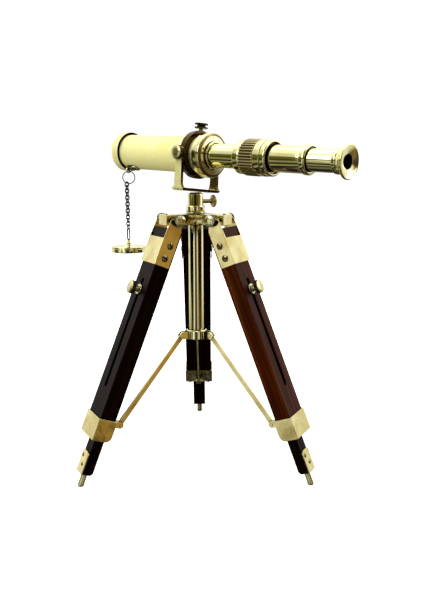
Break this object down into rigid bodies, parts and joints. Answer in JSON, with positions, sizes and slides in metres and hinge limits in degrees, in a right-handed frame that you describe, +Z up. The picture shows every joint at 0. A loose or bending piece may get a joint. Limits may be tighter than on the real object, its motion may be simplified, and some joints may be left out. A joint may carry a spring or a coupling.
{
  "type": "telescope on tripod",
  "caption": "Brass draw telescope in a tilting yoke on a folding table tripod with slotted wooden legs, thumb screws and a dust cap hung on a chain.",
  "frame": {"origin": "on the ground, under the middle of the whole outline", "axes": "+Z up; -Y towards the side with two legs and the clamp screws in view; the telescope's eyepiece end points to +X and -Y"},
  "size_m": [0.2202, 0.2212, 0.2999],
  "materials": {
    "brass": "polished",
    "knurled_brass": "knurled, satin",
    "dark_steel": "darkened wire",
    "mahogany": "satin lacquer",
    "dark_wood": "satin lacquer",
    "lens_glass": "clear"
  },
  "bodies": {
    "tripod_head": {"crown": "brass", "column": "brass", "post_sleeve": "brass", "hinge_bolt_a": "knurled_brass", "hinge_bolt_b": "knurled_brass", "hinge_bolt_c": "knurled_brass"},
    "post_screw": {"post_screw": "brass"},
    "yoke": {"yoke": "brass", "post": "brass", "post_rivet": "brass"},
    "pivot_knob_left": {"pivot_knob_left": "knurled_brass"},
    "pivot_knob_right": {"pivot_knob_right": "knurled_brass"},
    "telescope": {"barrel": "brass", "objective_bezel": "brass", "objective_lens": "lens_glass", "saddle_band": "brass", "rear_cap": "brass", "chain_bracket": "brass"},
    "band_screw": {"band_screw": "knurled_brass"},
    "first_draw": {"draw_tube_1": "brass", "erector_lens": "lens_glass"},
    "focus_grip": {"focus_grip": "knurled_brass"},
    "second_draw": {"focus_ring": "brass", "draw_tube_2": "brass", "draw_collar": "brass", "field_lens": "lens_glass"},
    "third_draw": {"draw_tube_3": "brass", "eyepiece_cup": "brass", "eye_lens": "lens_glass"},
    "split_ring": {"split_ring": "dark_steel"},
    "chain": {"chain": "dark_steel"},
    "dust_cap": {"dust_cap": "brass"},
    "spreader_hub": {"spreader_hub": "brass"},
    "leg_a": {"upper_leg_a": "dark_wood", "leg_bracket_a": "brass", "lower_band_a": "brass"},
    "hinge_nut_a": {"hinge_nut_a": "knurled_brass"},
    "lower_leg_a": {"lower_leg_a": "dark_wood", "foot_plate_a": "brass", "foot_pin_a": "brass"},
    "clamp_screw_a": {"clamp_screw_a": "knurled_brass"},
    "spreader_arm_a": {"spreader_arm_a": "brass"},
    "leg_b": {"upper_leg_b": "mahogany", "leg_bracket_b": "brass", "lower_band_b": "brass"},
    "hinge_nut_b": {"hinge_nut_b": "knurled_brass"},
    "lower_leg_b": {"lower_leg_b": "dark_wood", "foot_plate_b": "brass", "foot_pin_b": "brass"},
    "clamp_screw_b": {"clamp_screw_b": "knurled_brass"},
    "spreader_arm_b": {"spreader_arm_b": "brass"},
    "leg_c": {"upper_leg_c": "dark_wood", "leg_bracket_c": "brass", "lower_band_c": "brass"},
    "hinge_nut_c": {"hinge_nut_c": "knurled_brass"},
    "lower_leg_c": {"lower_leg_c": "dark_wood", "foot_plate_c": "brass", "foot_pin_c": "brass"},
    "clamp_screw_c": {"clamp_screw_c": "knurled_brass"},
    "spreader_arm_c": {"spreader_arm_c": "brass"}
  },
  "joints": [
    {"name": "post_screw_turn", "type": "hinge", "parent": "tripod_head", "child": "post_screw", "pos_m": [-0.009, -0.00381, 0.2342], "axis": [0.866, 0.5, 0], "range_deg": [0, 180]},
    {"name": "pan", "type": "hinge", "parent": "tripod_head", "child": "yoke", "pos_m": [-0.009, -0.00381, 0.242], "axis": [0, 0, 1], "continuous": true},
    {"name": "pivot_knob_left_turn", "type": "hinge", "parent": "yoke", "child": "pivot_knob_left", "pos_m": [-0.00639, -0.00257, 0.27328], "axis": [0.6692, 0.738, -0.0872], "range_deg": [0, 180]},
    {"name": "pivot_knob_right_turn", "type": "hinge", "parent": "yoke", "child": "pivot_knob_right", "pos_m": [-0.00639, -0.00257, 0.27328], "axis": [0.6692, 0.738, -0.0872], "range_deg": [-180, 0]},
    {"name": "tilt", "type": "hinge", "parent": "yoke", "child": "telescope", "pos_m": [-0.00639, -0.00257, 0.27328], "axis": [0.6692, 0.738, -0.0872], "range_deg": [-12, 35]},
    {"name": "band_screw_turn", "type": "hinge", "parent": "telescope", "child": "band_screw", "pos_m": [-0.00379, -0.00235, 0.29514], "axis": [0.0916, 0.0345, 0.9952], "range_deg": [0, 180]},
    {"name": "first_draw_slide", "type": "slide", "parent": "telescope", "child": "first_draw", "axis": [0.7375, -0.6739, -0.0445], "range_m": [-0.026, 0]},
    {"name": "focus_turn", "type": "hinge", "parent": "first_draw", "child": "focus_grip", "pos_m": [0.03786, -0.043, 0.27061], "axis": [0.7375, -0.6739, -0.0445], "range_deg": [0, 300]},
    {"name": "focus_slide", "type": "slide", "parent": "first_draw", "child": "second_draw", "axis": [0.7375, -0.6739, -0.0445], "range_m": [0, 0.002]},
    {"name": "third_draw_slide", "type": "slide", "parent": "second_draw", "child": "third_draw", "axis": [0.7375, -0.6739, -0.0445], "range_m": [-0.021, 0]},
    {"name": "ring_swing", "type": "hinge", "parent": "telescope", "child": "split_ring", "pos_m": [-0.07201, 0.04608, 0.25799], "axis": [0.6692, 0.738, -0.0872], "range_deg": [-35, 12]},
    {"name": "chain_swing", "type": "hinge", "parent": "split_ring", "child": "chain", "pos_m": [-0.07394, 0.04601, 0.24856], "axis": [0.9336, 0, -0.3584], "range_deg": [-15, 15]},
    {"name": "cap_swing", "type": "hinge", "parent": "chain", "child": "dust_cap", "pos_m": [-0.07353, 0.04601, 0.19555], "axis": [0, 1, 0], "range_deg": [-15, 15]},
    {"name": "leg_a_fold", "type": "hinge", "parent": "tripod_head", "child": "leg_a", "pos_m": [-0.0297, -0.01576, 0.2196], "axis": [0.5, -0.866, 0], "range_deg": [0, 19]},
    {"name": "hinge_nut_a_turn", "type": "hinge", "parent": "tripod_head", "child": "hinge_nut_a", "pos_m": [-0.0297, -0.01576, 0.2196], "axis": [0.5, -0.866, 0], "range_deg": [0, 180]},
    {"name": "lower_leg_a_slide", "type": "slide", "parent": "leg_a", "child": "lower_leg_a", "axis": [-0.3356, -0.1938, -0.9219], "range_m": [0, 0.08]},
    {"name": "clamp_screw_a_turn", "type": "hinge", "parent": "lower_leg_a", "child": "clamp_screw_a", "pos_m": [-0.05916, -0.03277, 0.16448], "axis": [-0.7984, -0.4609, 0.3875], "range_deg": [0, 180]},
    {"name": "spreader_arm_a_turn", "type": "hinge", "parent": "leg_a", "child": "spreader_arm_a", "pos_m": [-0.07458, -0.04167, 0.04678], "axis": [0.5, -0.866, 0], "range_deg": [0, 22]},
    {"name": "leg_b_fold", "type": "hinge", "parent": "tripod_head", "child": "leg_b", "pos_m": [0.0117, -0.01576, 0.2196], "axis": [0.5, 0.866, 0], "range_deg": [0, 19]},
    {"name": "hinge_nut_b_turn", "type": "hinge", "parent": "tripod_head", "child": "hinge_nut_b", "pos_m": [0.0117, -0.01576, 0.2196], "axis": [0.5, 0.866, 0], "range_deg": [0, 180]},
    {"name": "lower_leg_b_slide", "type": "slide", "parent": "leg_b", "child": "lower_leg_b", "axis": [0.3356, -0.1938, -0.9219], "range_m": [0, 0.08]},
    {"name": "clamp_screw_b_turn", "type": "hinge", "parent": "lower_leg_b", "child": "clamp_screw_b", "pos_m": [0.04116, -0.03277, 0.16448], "axis": [0.7984, -0.4609, 0.3875], "range_deg": [0, 180]},
    {"name": "spreader_arm_b_turn", "type": "hinge", "parent": "leg_b", "child": "spreader_arm_b", "pos_m": [0.05657, -0.04167, 0.04678], "axis": [0.5, 0.866, 0], "range_deg": [0, 22]},
    {"name": "leg_c_fold", "type": "hinge", "parent": "tripod_head", "child": "leg_c", "pos_m": [-0.009, 0.02009, 0.2196], "axis": [-1, 0, 0], "range_deg": [0, 19]},
    {"name": "hinge_nut_c_turn", "type": "hinge", "parent": "tripod_head", "child": "hinge_nut_c", "pos_m": [-0.009, 0.02009, 0.2196], "axis": [-1, 0, 0], "range_deg": [0, 180]},
    {"name": "lower_leg_c_slide", "type": "slide", "parent": "leg_c", "child": "lower_leg_c", "axis": [0, 0.3875, -0.9219], "range_m": [0, 0.08]},
    {"name": "clamp_screw_c_turn", "type": "hinge", "parent": "lower_leg_c", "child": "clamp_screw_c", "pos_m": [-0.009, 0.05411, 0.16448], "axis": [0, 0.9219, 0.3875], "range_deg": [0, 180]},
    {"name": "spreader_arm_c_turn", "type": "hinge", "parent": "leg_c", "child": "spreader_arm_c", "pos_m": [-0.009, 0.07191, 0.04678], "axis": [-1, 0, 0], "range_deg": [0, 22]},
    {"name": "spreader_hub_slide", "type": "slide", "parent": "tripod_head", "child": "spreader_hub", "axis": [0, 0, 1], "range_m": [0, 0.019]}
  ],
  "couplings": [
    {"joint": "leg_b_fold", "follows": "leg_a_fold", "ratio": 1},
    {"joint": "leg_c_fold", "follows": "leg_a_fold", "ratio": 1},
    {"joint": "spreader_arm_a_turn", "follows": "leg_a_fold", "ratio": 1.104},
    {"joint": "spreader_arm_b_turn", "follows": "leg_a_fold", "ratio": 1.104},
    {"joint": "spreader_arm_c_turn", "follows": "leg_a_fold", "ratio": 1.104},
    {"joint": "spreader_hub_slide", "follows": "leg_a_fold", "m_per_rad": 0.05325},
    {"joint": "focus_turn", "follows": "focus_slide", "rad_per_m": 2618},
    {"joint": "ring_swing", "follows": "tilt", "ratio": -1}
  ]
}
